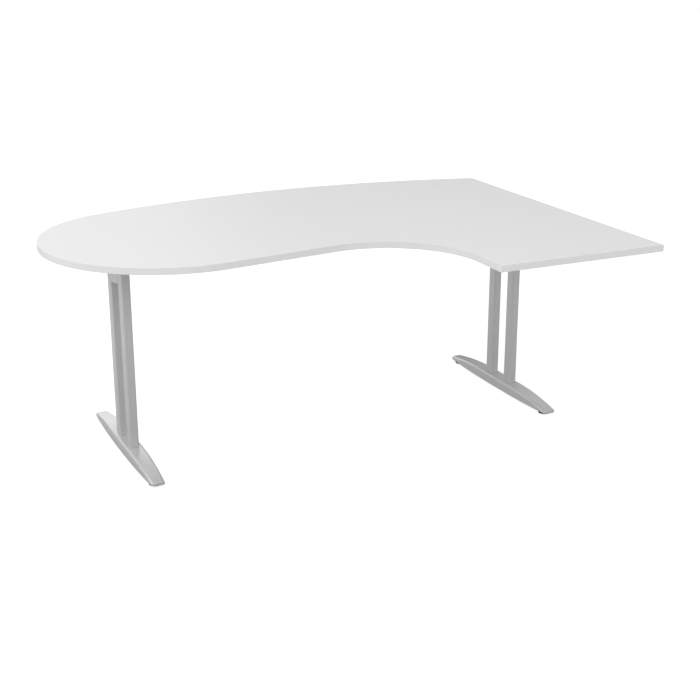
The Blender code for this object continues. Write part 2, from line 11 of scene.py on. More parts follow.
import bmesh
import bpy
import numpy as np
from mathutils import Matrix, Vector


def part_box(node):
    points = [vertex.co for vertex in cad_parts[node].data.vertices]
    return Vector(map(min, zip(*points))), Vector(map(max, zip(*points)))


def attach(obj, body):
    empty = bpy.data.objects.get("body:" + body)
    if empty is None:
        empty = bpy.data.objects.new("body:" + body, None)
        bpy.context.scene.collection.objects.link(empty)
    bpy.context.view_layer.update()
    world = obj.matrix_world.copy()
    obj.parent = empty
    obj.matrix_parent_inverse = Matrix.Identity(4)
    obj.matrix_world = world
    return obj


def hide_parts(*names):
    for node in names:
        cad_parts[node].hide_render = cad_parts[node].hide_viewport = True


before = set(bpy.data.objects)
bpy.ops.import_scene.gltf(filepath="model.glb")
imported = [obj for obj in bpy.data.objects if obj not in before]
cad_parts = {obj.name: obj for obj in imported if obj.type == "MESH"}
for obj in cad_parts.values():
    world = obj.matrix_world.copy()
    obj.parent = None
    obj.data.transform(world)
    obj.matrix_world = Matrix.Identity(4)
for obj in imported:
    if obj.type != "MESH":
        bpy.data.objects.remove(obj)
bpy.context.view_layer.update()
print("nodes:", len(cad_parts))

# %% [markdown]
# ## From grids to meshes
#
# Almost every piece is a loop of points (the columns) that is repeated along a path or around a wall (the
# rows). The corner numbers of all its faces follow from the grid's own numbering, so one helper makes the
# faces of every piece. A row that ends in the open gets one flat face.

# %% Faces of a grid
def grid_faces(rows, columns, rows_close=False):
    """The four corner numbers of each face between neighbours of a grid. Its columns go round and close."""
    number = np.arange(rows * columns).reshape(rows, columns)
    if rows_close:
        number = np.vstack((number, number[:1]))
    number = np.hstack((number, number[:, :1]))
    corners = (number[:-1, :-1], number[:-1, 1:], number[1:, 1:], number[1:, :-1])
    return np.stack(corners, axis=-1).reshape(-1, 4)


def shell(points, rows_close=False, caps=True):
    """A closed surface from a (rows, columns, 3) grid: its points and the corner lists of its faces."""
    rows, columns = points.shape[:2]
    faces = grid_faces(rows, columns, rows_close).tolist()
    if caps and not rows_close:
        faces += [list(range(columns)), list(range((rows - 1) * columns, rows * columns))]
    return points.reshape(-1, 3), faces


def lifted(flat, height):
    """Give flat points a third number: one height for all, or heights that spread over their shape."""
    height = np.broadcast_to(height, flat.shape[:-1])
    return np.concatenate((flat, height[..., None]), axis=-1)


print("a grid of 3 by 4 has", len(grid_faces(3, 4)), "faces")

# %% [markdown]
# ## Pieces
#
# A piece is a mesh of one or more closed shells. It stays at the origin, with its place in its mesh, rides
# on a body of the model and stands for the CAD nodes that it replaces. Doubled points are merged, the faces
# are turned outwards, and an edge is sharp only where two faces meet at more than SHARP_TURN. The finishes
# are gathered by the name of their slot as they are made, so a piece's slot also picks its finish.

# %% Make a piece
SHARP_TURN = math.radians(34)
MERGE = 0.000002
finishes = {}
pieces = {}


def in_scene(name, data):
    """A new object that shows the data, in the scene."""
    item = bpy.data.objects.new(name, data)
    bpy.context.scene.collection.objects.link(item)
    return item


def piece(name, shells, nodes, slot="silver_powder_coat", body="desk_frame"):
    """Put shells into one mesh, turn their faces outwards, and tie the piece to the CAD model. Most of the
    desk is silver steel that doesn't move, so these are the slot and the body where none is given."""
    starts = np.cumsum([0] + [len(points) for points, _ in shells])
    points = np.concatenate([points for points, _ in shells])
    faces = [[corner + int(start) for corner in face]
             for (_, own_faces), start in zip(shells, starts) for face in own_faces]
    mesh = bpy.data.meshes.new(name)
    mesh.from_pydata(points.tolist(), [], faces)
    shape = bmesh.new()
    shape.from_mesh(mesh)
    bmesh.ops.remove_doubles(shape, verts=shape.verts, dist=MERGE)
    bmesh.ops.recalc_face_normals(shape, faces=shape.faces)
    shape.to_mesh(mesh)
    shape.free()
    mesh.shade_smooth()
    mesh.set_sharp_from_angle(angle=SHARP_TURN)
    mesh.materials.append(finishes[slot])
    item = in_scene(name, mesh)
    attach(item, body)
    if nodes:
        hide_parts(*nodes)
    pieces[name] = item
    print(name + ":", len(mesh.polygons), "faces, size", [round(d, 4) for d in item.dimensions])


def middle(node):
    """The middle of a CAD node's box: half the sum of its two corners."""
    low, high = (np.array(corner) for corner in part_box(node))
    return (low + high) / 2


SIDES = {"left": 1, "right": -1}
ENDS = {"front": -1, "rear": 1}
leg_x = {side: middle("upright_" + side + "_front")[0] for side in SIDES}
leg_y = (middle("upright_left_front")[1] + middle("upright_left_rear")[1]) / 2
print("legs at x =", {side: round(float(x), 4) for side, x in leg_x.items()}, "y =", round(float(leg_y), 4))

# %% [markdown]
# ## Writing materials as expressions
#
# A node tree is easier to read as a sum than as a web of wires. `Wire` wraps one output socket, and its
# operators add Math nodes. `Finish` holds one material, and its method `node` adds any other node: first the
# settings, then the values or wires of its sockets.

# %% A socket with arithmetic
class Wire:
    """One output of a node. A sum or product with a number or with another wire adds a Math node."""

    def __init__(self, finish, socket):
        self.finish = finish
        self.socket = socket

    def math(self, operation, other):
        return self.finish.node("ShaderNodeMath", {"operation": operation}, {0: self, 1: other})

    def __add__(self, other):
        return self.math("ADD", other)

    def __mul__(self, other):
        return self.math("MULTIPLY", other)

    __radd__ = __add__
    __rmul__ = __mul__


# %% A material under construction
class Finish:
    """One material: node() adds a node, and surface() wires the shader and keeps the material."""

    def __init__(self, name):
        self.material = bpy.data.materials.new(name)
        self.material.use_nodes = True
        self.tree = self.material.node_tree
        self.tree.nodes.clear()
        self.place = self.node("ShaderNodeTexCoord", output="Object")

    def node(self, kind, settings=None, sockets=None, output=0):
        """Add a node, give it its settings, then its sockets by name, identifier or number."""
        node = self.tree.nodes.new(kind)
        for key, value in (settings or {}).items():
            setattr(node, key, value)
        by_identifier = {socket.identifier: socket for socket in node.inputs}
        for key, value in (sockets or {}).items():
            socket = by_identifier.get(key) or node.inputs[key]
            if isinstance(value, Wire):
                self.tree.links.new(value.socket, socket)
            else:
                socket.default_value = value
        outputs = {socket.identifier: socket for socket in node.outputs}
        return Wire(self, outputs.get(output) or node.outputs[output])

    def noise(self, scale, detail, stretch=None):
        """Soft random clouds between 0 and 1, with about `scale` of them in a metre."""
        place = self.place
        if stretch:
            place = self.node("ShaderNodeVectorMath", {"operation": "MULTIPLY"},
                              {"Vector": place, "Vector_001": stretch})
        return self.node("ShaderNodeTexNoise", None, {"Vector": place, "Scale": scale, "Detail": detail})

    def grains(self, scale):
        """A random grey for each of the small cells, with about `scale` of them in a metre."""
        cells = self.node("ShaderNodeTexVoronoi", None, {"Vector": self.place, "Scale": scale}, "Color")
        return self.node("ShaderNodeSeparateColor", None, {"Color": cells})

    def between(self, share, first, second):
        """The colour that lies a share of the way from the first colour to the second."""
        return self.node("ShaderNodeMix", {"data_type": "RGBA", "clamp_factor": True},
                         {"Factor_Float": share, "A_Color": (*first, 1), "B_Color": (*second, 1)},
                         "Result_Color")

    def bump(self, height, distance, strength):
        """A normal that leans as the height's slope does. A height of 1 stands `distance` metres proud."""
        return self.node("ShaderNodeBump", None,
                         {"Height": height, "Distance": distance, "Strength": strength})

    def surface(self, slot, **sockets):
        """Wire the shader and keep the finish for its slot. An underscore in a name stands for a space."""
        named = {key.replace("_", " "): value for key, value in sockets.items()}
        shader = self.node("ShaderNodeBsdfPrincipled", None, named)
        output = self.tree.nodes.new("ShaderNodeOutputMaterial")
        self.tree.links.new(shader.socket, output.inputs["Surface"])
        finishes[slot] = self.material
        print("finish", slot, "has", len(self.tree.nodes), "nodes")


# %% [markdown]
# ## White melamine
#
# The top is chipboard with a white paper foil pressed on in melamine resin. The press plate leaves a very
# fine pebble, a millimetre or two across and a few hundredths deep, which turns reflections into a soft
# sheen. Two noises make the pebble, and a slow cloud lets some places shine a little more than others.

# %% White melamine finish
MELAMINE_WHITES = (0.764, 0.765, 0.767), (0.785, 0.786, 0.787)
PEBBLE_HEIGHT = 0.00005

melamine = Finish("melamine_white")
cloud, pebble, tooth = melamine.noise(1.8, 3), melamine.noise(620, 2), melamine.noise(1900, 1)
colour = melamine.between(cloud * 0.7 + tooth * 0.3, *MELAMINE_WHITES)
melamine.surface("white_melamine", Base_Color=colour, Roughness=0.44 + cloud * 0.06 + pebble * 0.10,
                 Normal=melamine.bump(pebble * 0.8 + tooth * 0.2, PEBBLE_HEIGHT, 0.5),
                 Specular_IOR_Level=0.10)

# %% [markdown]
# ## White edging
#
# The strip round the top is extruded plastic, 2 mm thick. Its colour is matched to the board, but it is a
# little smoother, and the die leaves faint lines that run along it. A noise squeezed in height gives them.

# %% White edging finish
EDGING_WHITES = (0.756, 0.757, 0.760), (0.774, 0.775, 0.777)
DIE_LINE_HEIGHT = 0.00003

edging = Finish("edging_white")
cloud, lines, grain = edging.noise(5, 2), edging.noise(1, 2, (18, 18, 2600)), edging.noise(1400, 1)
edging.surface("white_edging", Base_Color=edging.between(cloud, *EDGING_WHITES),
               Roughness=0.34 + lines * 0.10 + cloud * 0.04, Specular_IOR_Level=0.35,
               Normal=edging.bump(lines * 0.6 + grain * 0.4, DIE_LINE_HEIGHT, 0.4))

# %% [markdown]
# ## Silver powder coat
#
# The steel is blasted, dusted with silver powder paint and baked. The powder flows out into a shallow
# "orange peel" of bumps 3 to 4 mm across, and tiny aluminium flakes under its clear skin catch the light one
# by one. So the colour comes from small cells of random grey, and the bump from two noises.

# %% Silver powder coat finish
SILVERS = (0.597, 0.599, 0.600), (0.686, 0.687, 0.688)
PEEL_HEIGHT = 0.00007

silver = Finish("powder_coat_silver")
flakes, cloud = silver.grains(1500), silver.noise(7, 2)
peel, grain = silver.noise(300, 2), silver.noise(1700, 2)
colour = silver.between(flakes * 0.55 + cloud * 0.25 + grain * 0.20, *SILVERS)
silver.surface("silver_powder_coat", Base_Color=colour, Roughness=0.36 + grain * 0.10 + cloud * 0.06,
               Metallic=0.56 + flakes * 0.12,
               Normal=silver.bump(peel * 0.75 + grain * 0.25, PEEL_HEIGHT, 0.5))

# %% [markdown]
# ## Zinc-plated steel
#
# Screws, studs and the blocks in the tubes are zinc plated: a bluish bright metal with dull patches where
# the bath has worked unevenly. A metal's look is its reflection, so the detail is in the roughness, in a
# fine bump and in a slight change of colour.

# %% Zinc finish
ZINCS = (0.52, 0.54, 0.57), (0.70, 0.71, 0.71)
ZINC_GRAIN_HEIGHT = 0.00002

zinc = Finish("zinc_plate")
patches, grain = zinc.noise(160, 3), zinc.noise(2600, 2)
zinc.surface("zinc_steel", Base_Color=zinc.between(patches, *ZINCS), Metallic=1.0,
             Roughness=0.24 + patches * 0.16 + grain * 0.06,
             Normal=zinc.bump(grain, ZINC_GRAIN_HEIGHT, 0.5))

# %% [markdown]
# ## Brass and black plastic
#
# The glides screw into brass sleeves, turned on a lathe, so their bump is squeezed into rings along the
# sleeve's axis. The pads are moulded in black plastic with the fine grain of a spark-eroded tool.

# %% Brass finish
BRASSES = (0.62, 0.44, 0.20), (0.76, 0.60, 0.32)
LATHE_RING_HEIGHT = 0.00003

brass = Finish("turned_brass")
patches, rings = brass.noise(240, 2), brass.noise(1, 2, (60, 60, 4200))
brass.surface("brass_thread", Base_Color=brass.between(patches, *BRASSES), Metallic=1.0,
              Roughness=0.22 + rings * 0.14 + patches * 0.08,
              Normal=brass.bump(rings, LATHE_RING_HEIGHT, 0.5))

# %% Black plastic finish
BLACKS = (0.004, 0.004, 0.004), (0.011, 0.011, 0.011)
MOULD_GRAIN_HEIGHT = 0.00006

black = Finish("moulded_black")
cloud, grain = black.noise(90, 2), black.noise(2100, 2)
black.surface("black_plastic", Base_Color=black.between(cloud * 0.5 + grain * 0.5, *BLACKS),
              Roughness=0.56 + cloud * 0.10 + grain * 0.08, Specular_IOR_Level=0.02,
              Normal=black.bump(grain, MOULD_GRAIN_HEIGHT, 0.6))

# %% [markdown]
# ## The plan of the top
#
# Seen from above, the top is straight lines and three arcs that run into each other without a corner: the
# hollow of the wave, the round left end and the long bow of the back. Two arcs meet smoothly where the line
# through their centres cuts them, and a straight is tangent to both where it stands square to their radii.

# %% Centres and angles of the arcs
TOP_WIDTH = 1.800
SIDE_DEPTH = 1.200
WING_WIDTH = 0.600
NECK_DEPTH = 0.760
WAVE_RADIUS = 0.300
END_RADIUS = 0.420
END_SETBACK = 0.400
BOW_RADIUS = 2.520

top_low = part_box("edge_band_front")[0]
top_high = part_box("edge_band_right")[1]
underside, top_level = top_low.z, top_high.z
right_x, front_y = top_high.x, top_low.y
rear_y = front_y + SIDE_DEPTH
wave_centre = np.array((right_x - WING_WIDTH - WAVE_RADIUS, rear_y - NECK_DEPTH - WAVE_RADIUS))
end_centre = np.array((right_x - TOP_WIDTH + END_RADIUS, rear_y - END_SETBACK))
apart = wave_centre - end_centre
slope = math.atan2(apart[0], -apart[1]) - math.acos((WAVE_RADIUS + END_RADIUS) / np.hypot(*apart))
away = end_centre - (right_x, rear_y)
reach = np.hypot(*away)
along = (BOW_RADIUS ** 2 - (BOW_RADIUS - END_RADIUS) ** 2 + reach ** 2) / (2 * reach)
aside = math.sqrt(BOW_RADIUS ** 2 - along ** 2)
bow_centre = np.array((right_x, rear_y)) + (away * along + np.array((-away[1], away[0])) * aside) / reach
joint_turn = math.atan2(*(end_centre - bow_centre)[::-1])
print("wave", wave_centre.round(4), "end", end_centre.round(4), "bow", bow_centre.round(4))

# %% [markdown]
# ## The board
#
# The board is swept out by straight lines, or rulings, from its front edge to its rear edge. Up to the wing
# each ruling has one x. Over the wing its front end walks down the wing's inner side and along its front,
# while its rear end goes on along the bow, so that no two rulings cross. Each row of the grid goes from
# front to rear over the upper face and comes back under the lower one.

# %% Front and rear edge of the board
FIRST_TURN = 0.02
END_STEPS = 72
WAVE_STEPS = 48
WING_SIDE_STEPS = 8
WING_FRONT_STEPS = 32


def rear_edge(x, inset):
    """y of the rear edge at each x: the round end's circle as far as the joint, then the bow's circle."""
    end = end_centre[1] + np.sqrt(np.maximum((END_RADIUS - inset) ** 2 - (x - end_centre[0]) ** 2, 0))
    bow = bow_centre[1] + np.sqrt((BOW_RADIUS - inset) ** 2 - (x - bow_centre[0]) ** 2)
    joint_x = end_centre[0] + (END_RADIUS - inset) * math.cos(joint_turn)
    return np.where(x < joint_x, end, bow)


def front_edge(x, inset):
    """y of the front edge at each x: the round end's circle, the straight, then the hollow of the wave."""
    end, hollow = END_RADIUS - inset, WAVE_RADIUS + inset
    round_end = end_centre[1] - np.sqrt(np.maximum(end ** 2 - (x - end_centre[0]) ** 2, 0))
    wave = wave_centre[1] + np.sqrt(np.maximum(hollow ** 2 - (x - wave_centre[0]) ** 2, 0))
    touch = end_centre + end * np.array((math.sin(slope), -math.cos(slope)))
    straight = touch[1] + (x - touch[0]) * math.tan(slope)
    wave_x = wave_centre[0] - hollow * math.sin(slope)
    return np.where(x < touch[0], round_end, np.where(x < wave_x, straight, wave))


def board_rulings(inset):
    """The front and the rear end of each ruling, from the round end to the right side."""
    turn = np.linspace(FIRST_TURN, np.pi / 2, END_STEPS)
    left = end_centre[0] - (END_RADIUS - inset) * np.cos(turn)
    across = np.linspace(end_centre[0], wave_centre[0], WAVE_STEPS)[1:-1]
    hollow = wave_centre[0] + (WAVE_RADIUS + inset) * np.sin(np.linspace(0, np.pi / 2, WAVE_STEPS))
    x = np.concatenate((left, across, hollow))
    inner_x, outer_x = x[-1], right_x - inset
    down = np.linspace(wave_centre[1], front_y + inset, WING_SIDE_STEPS + 1)[1:]
    over = np.linspace(inner_x, outer_x, WING_FRONT_STEPS + 1)[1:]
    front = np.hstack(((x, front_edge(x, inset)), (np.full_like(down, inner_x), down),
                       (over, np.full_like(over, front_y + inset))))
    bow_x = np.linspace(inner_x, outer_x, WING_SIDE_STEPS + WING_FRONT_STEPS + 1)[1:]
    rear_x = np.append(x, bow_x)
    return front.T, np.stack((rear_x, rear_edge(rear_x, inset)), axis=-1)


print("rulings:", len(board_rulings(0)[0]))

# %% Build the board
EDGING = 0.002
GLUE_LINE = 0.0001
RULING_STEPS = 14


def board_points():
    """Rows of points over and under the board: each is front plus a share of the way to the rear."""
    front, rear = board_rulings(EDGING + GLUE_LINE)
    share = np.linspace(0, 1, RULING_STEPS)[None, :, None]
    flat = front[:, None] * (1 - share) + rear[:, None] * share
    return np.concatenate((lifted(flat, top_level), lifted(flat, underside)[:, ::-1]), axis=1)


piece("worktop_board", [shell(board_points())], ["desktop_core"], "white_melamine")

# %% [markdown]
# ## The edging
#
# Four strips go round the board: two straight ones, one round the wave and the left end, one along the bow.
# A strip's cross-section is a loop of points, each with its own inset from the outline and its own height.
# An arc drawn in by an inset is an arc with another radius about the same centre, so every point of the
# section follows an exact curve, and the strips meet in true mitres.

# %% Section of the strip
EDGE_ROUND = 0.0009
EDGE_STEPS = 6
HOLD = 0.0003
SOFT = 0.00015


def quarter(steps):
    """Cosines and sines of an angle that turns through a quarter."""
    turn = np.linspace(0, 1, steps + 1) * np.pi / 2
    return np.cos(turn), np.sin(turn)


def strip_section():
    """(inset, height) round the strip: a quarter round at both outer edges, small chamfers at the inner."""
    cosines, sines = quarter(EDGE_STEPS)
    high = top_level - EDGE_ROUND + EDGE_ROUND * sines
    low = underside + EDGE_ROUND - EDGE_ROUND * sines
    inset = EDGE_ROUND * (1 - cosines)
    hold = EDGE_ROUND + HOLD
    inner = np.array(((hold, top_level), (EDGING - SOFT, top_level), (EDGING, top_level - SOFT),
                      (EDGING, underside + SOFT), (EDGING - SOFT, underside), (hold, underside)))
    upper = np.stack((np.append(0, inset), np.append(top_level - hold, high)), axis=-1)
    lower = np.stack((np.append(0, inset), np.append(underside + hold, low)), axis=-1)
    return np.concatenate((upper, inner, lower[::-1]))


section = strip_section()
print("section of the strip:", len(section), "points")


# %% Outline runs at any inset
RUN_STEPS = {"inner_side": 6, "wave": 60, "straight": 12, "end": 120, "bow": 96, "right": 24, "front": 12}


def arc_run(centre, radius, turns):
    """Points about one centre: the turns go along the rows, and the radii along the columns."""
    ray = np.stack((np.cos(turns), np.sin(turns)), axis=-1)
    return centre + ray * radius[None, :, None]


def straight_run(start, end, steps):
    """Points at even shares of the way from the start to the end."""
    share = np.linspace(0, 1, steps + 1)[:, None, None]
    return start * (1 - share) + end * share


def outline_runs(inset):
    """The four runs of the outline, as (points along the run, insets, 2) arrays."""
    bow, right, front = BOW_RADIUS - inset, right_x - inset, front_y + inset
    rear_right = np.stack((right, bow_centre[1] + np.sqrt(bow ** 2 - (right - bow_centre[0]) ** 2)), -1)
    front_right = np.stack((right, front), axis=-1)
    front_left = np.stack((right_x - WING_WIDTH + inset, front), axis=-1)
    wave_turns = np.linspace(0, np.pi / 2 + slope, RUN_STEPS["wave"] + 1)[:, None]
    wave = arc_run(wave_centre, WAVE_RADIUS + inset, wave_turns)
    end_turns = np.linspace(slope - np.pi / 2, joint_turn - 2 * np.pi, RUN_STEPS["end"] + 1)[:, None]
    end = arc_run(end_centre, END_RADIUS - inset, end_turns)
    inner_side = straight_run(front_left, wave[0], RUN_STEPS["inner_side"])
    straight = straight_run(wave[-1], end[0], RUN_STEPS["straight"])
    corner_turn = np.arctan2(*(rear_right - bow_centre).T[::-1])
    share = np.linspace(0, 1, RUN_STEPS["bow"] + 1)[:, None]
    return {
        "right": straight_run(rear_right, front_right, RUN_STEPS["right"]),
        "front": straight_run(front_right, front_left, RUN_STEPS["front"]),
        "wave": np.concatenate((inner_side, wave[1:], straight[1:], end[1:])),
        "back": arc_run(bow_centre, bow, joint_turn + share * (corner_turn - joint_turn)),
    }


runs = outline_runs(section[:, 0])
print("points along the runs:", {side: len(run) for side, run in runs.items()})

# %% Build the four strips
SEAM = 0.0001


def strip_points(run, narrow):
    """The strip's rows along its run. The rows at both ends are drawn in on every side, as a fine seam."""
    share = SEAM / np.linalg.norm(run[1] - run[0], axis=-1).mean()
    near = run[0] + (run[1] - run[0]) * share
    far = run[-1] + (run[-2] - run[-1]) * share
    path = np.concatenate((narrow[:1], near[None], run[1:-1], far[None], narrow[-1:]))
    height = np.broadcast_to(section[:, 1], path.shape[:2]).copy()
    height[[0, -1]] = np.clip(height[[0, -1]], underside + SEAM, top_level - SEAM)
    return lifted(path, height)


narrow_runs = outline_runs(np.clip(section[:, 0], SEAM, EDGING - SEAM))
for side, run in runs.items():
    strip = shell(strip_points(run, narrow_runs[side]))
    piece("edging_" + side, [strip], ["edge_band_" + side], "white_edging")

# %% [markdown]
# ## Rounded rectangles
#
# Tubes, plates and trays share one outline: a rectangle with round corners. Drawing it in by an inset keeps
# each corner's centre and shortens its radius, so one formula gives the outside and the inside of a wall. An
# extra point just past each round holds the flat sides flat when the mesh is shaded smooth.

# %% Rounded loops and walls
CORNER_STEPS = 8
LEAST_RADIUS = 0.0002
SAWN_EDGE = 0.0003


def rounded_loop(width, depth, corner, inset=0.0):
    """Loops about the origin, one for each inset, counter-clockwise, as an (insets, points, 2) array.

    Each corner is its centre plus its radius times the cosine and sine of an angle that turns through a
    quarter, with one more point a little way along the straight on either side."""
    inset = np.atleast_1d(inset)[:, None, None, None]
    corner = np.broadcast_to(corner, 4)[:, None, None]
    radius = np.maximum(corner - inset, LEAST_RADIUS)
    signs = np.array(((1, 1), (-1, 1), (-1, -1), (1, -1)))[:, None]
    turn = np.arange(4)[:, None] * np.pi / 2 + np.linspace(0, np.pi / 2, CORNER_STEPS + 1)
    ray = np.stack((np.cos(turn), np.sin(turn)), axis=-1)
    onward = np.stack((-ray[..., 1], ray[..., 0]), axis=-1)
    arcs = signs * (np.array((width, depth)) / 2 - inset - radius) + radius * ray
    before = arcs[:, :, :1] - HOLD * onward[:, :1]
    after = arcs[:, :, -1:] + HOLD * onward[:, -1:]
    return np.concatenate((before, arcs, after), axis=2).reshape(len(inset), -1, 2)


def tube(size, low, high):
    """A sawn tube's loops and each loop's place along it, as a column. They go once round its wall: up the
    outside, over the end, down the inside and back under the other end, with a slight break at each edge."""
    wall, edge = size["wall"], SAWN_EDGE
    inset = np.array((0, 0, edge, wall - edge, wall, wall, wall - edge, edge))
    place = np.array((low + edge, high - edge, high, high, high - edge, low + edge, low, low))
    return rounded_loop(size["width"], size["depth"], size["corner"], inset), place[:, None]


def across_desk(loops, x):
    """Lay loops of (y, z) points across the desk, each at its own x, which is put in front of them."""
    return np.roll(lifted(loops, x), 1, axis=-1)


print("a rounded loop has", rounded_loop(0.03, 0.04, 0.004).shape[1], "points")

# %% [markdown]
# ## Uprights
#
# Each leg has two steel tubes of 30 x 40 mm side by side, with rounded corners and a 2 mm wall. They are
# sawn square, so their ends have only a slight break. The wall's own section is carried round the outline.

# %% Build the uprights
UPRIGHT = {"width": 0.030, "depth": 0.040, "corner": 0.004, "wall": 0.002}

for side in SIDES:
    for end in ENDS:
        node = f"upright_{side}_{end}"
        low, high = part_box(node)
        loops, z = tube(UPRIGHT, low.z, high.z)
        grid = lifted(loops, z) + middle(node) * (1, 1, 0)
        piece(f"leg_tube_{side}_{end}", [shell(grid, rows_close=True)], [node])

# %% [markdown]
# ## Head trays
#
# Under the top, a pressed steel tray closes the slot between the two tubes. Its outer face is flush with
# them, its lower corners are round, its lower edge rises a little towards the front, and it is open towards
# the knees. Its loops start in the middle of the face, go out to its rim, turn through the bend, run inwards
# as the side wall, and come back on the inside. The bend is three times as round outside as inside.

# %% Build the head trays
TRAY = {"wall": 0.003, "bend": 0.0022, "high_corner": 0.0024, "low_front": 0.008, "low_rear": 0.012,
        "rise": 0.012}
BEND_STEPS = 5


def tray_path(depth):
    """(inset, distance from the outer face) from the middle of the face, round the wall, to the inside."""
    wall, bend, inner_bend = TRAY["wall"], TRAY["bend"], TRAY["bend"] / 3
    cosines, sines = quarter(BEND_STEPS)
    face = ((bend + 4 * HOLD, 0), (bend + HOLD, 0))
    outer = np.stack((bend * (1 - sines), bend * (1 - cosines)), axis=-1)
    rim = ((0, bend + HOLD), (0, depth - SAWN_EDGE), (SAWN_EDGE, depth), (wall - SAWN_EDGE, depth),
           (wall, depth - SAWN_EDGE), (wall, wall + inner_bend + HOLD))
    inner = np.stack((wall + inner_bend * (1 - cosines), wall + inner_bend * (1 - sines)), axis=-1)
    floor = ((wall + inner_bend + HOLD, wall), (wall + inner_bend + 4 * HOLD, wall))
    return np.concatenate((face, outer, rim, inner, floor))


def head_tray(side):
    """The tray's loops. Its lower edge rises towards the front, in step with the distance from the rear
    corner, and the lift fades out evenly up to the top."""
    node = "head_block_" + side
    low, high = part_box(node)
    inset, inward = tray_path(high.x - low.x).T
    corners = (TRAY["high_corner"], TRAY["high_corner"], TRAY["low_front"], TRAY["low_rear"])
    width, height = high.y - low.y, high.z - low.z
    loops = rounded_loop(width, height, corners, inset)
    rear_end = width / 2 - TRAY["low_rear"]
    slope_run = width - TRAY["low_rear"] - TRAY["low_front"]
    forward = np.clip((rear_end - loops[..., 0]) / slope_run, 0, 1)
    loops[..., 1] += TRAY["rise"] * forward * (0.5 - loops[..., 1] / height)
    outer_face = low.x if side == "left" else high.x
    return shell(across_desk(loops + middle(node)[1:], outer_face + SIDES[side] * inward[:, None]))


for side in SIDES:
    piece("head_tray_" + side, [head_tray(side)], ["head_block_" + side])

# %% [markdown]
# ## Support arms
#
# The tubes are welded into a folded channel that is screwed up into the board. It is a flat web with two
# flanges, deep over the leg and tapered to both tips. One section goes once round the bent sheet, and only
# the flanges' lower edges move as it is carried along the arm.

# %% Section of the support arms
ARM = {"wall": 0.0025, "bend": 0.0030, "inner_bend": 0.0005, "depth": 0.040, "tip_depth": 0.016,
       "full_half": 0.160}


def bent_side(x, top, radius, soft):
    """One side of the sheet's right half: up from the flange's edge, round the bend and a little inwards."""
    cosines, sines = quarter(BEND_STEPS)
    across = np.concatenate(((x - soft, x, x), x - radius + radius * cosines, (x - radius - HOLD,)))
    up = np.concatenate(((0, SOFT, top - radius - HOLD), top - radius + radius * sines, (top,)))
    return np.stack((across, up), axis=-1)


def arm_section(width, top):
    """(x, z) round the bent sheet, with z = 0 where the flanges' lower edges will be set."""
    wall, mirror = ARM["wall"], (-1, 1)
    outside = bent_side(width / 2, top, ARM["bend"], SOFT)
    inside = bent_side(width / 2 - wall, top - wall, ARM["inner_bend"], -SOFT)
    return np.concatenate((outside, outside[::-1] * mirror, inside * mirror, inside[::-1]))


print("section of an arm:", len(arm_section(0.05, ARM["depth"])), "points")

# %% Build the support arms
def arm_points(side):
    """The section at each place along the arm: its points below the tips' depth hang at the depth there,
    which is full over the leg and goes down evenly to both tips."""
    low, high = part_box("support_arm_" + side)
    start, end = low.y - leg_y, high.y - leg_y
    bends = np.array((-1, 1)) * ARM["full_half"]
    y = np.sort(np.concatenate(((start, end), bends, bends - HOLD, bends + HOLD)))
    depths = [ARM[key] for key in ("tip_depth", "depth", "depth", "tip_depth")]
    x, z = arm_section(high.x - low.x, high.z).T
    hanging = high.z - np.interp(y, (start, *bends, end), depths)[:, None] + z
    z = np.where(z < high.z - ARM["tip_depth"], hanging, z)
    return np.stack((x + leg_x[side] + 0 * z, (y + leg_y)[:, None] + 0 * z, z), axis=-1)


for side in SIDES:
    piece("arm_channel_" + side, [shell(arm_points(side))], ["support_arm_" + side])

# %% [markdown]
# ## Feet
#
# A foot is a steel pressing, arched from tip to tip and hollow below. Its surface is a set of loops round
# the foot. Seen from above, a loop is the foot's outline drawn in by some distance, and its height follows
# from where it is: on the crown, round the fillet, down the side, round the rim and up again on the inside.
# The last loop on the crown and on the ceiling closes near the foot's middle line.

# %% Outline of the foot
FOOT = {"half": 0.340, "flat_half": 0.110, "top": 0.040, "tip_top": 0.019, "rim": 0.005, "tip_rim": 0.009,
        "width": 0.060, "tip_width": 0.044, "wall": 0.003, "fillet": 0.008, "nose": 0.0014,
        "tip_corner": 0.009}
FOOT_STEPS = {"side": 60, "corner": 14, "nose": 6}


def foot_half_width(y):
    """Half the foot's width: widest in the middle, less by the square of the distance."""
    spare = FOOT["width"] - FOOT["tip_width"]
    return (FOOT["tip_width"] + spare * (1 - (y / FOOT["half"]) ** 2)) / 2


def arched(y, flat, tip):
    """A height that is level on the flat middle of the foot and goes to the tips' value as a square."""
    past = np.clip((np.abs(y) - FOOT["flat_half"]) / (FOOT["half"] - FOOT["flat_half"]), 0, 1)
    return FOOT[flat] + (FOOT[tip] - FOOT[flat]) * past ** 2


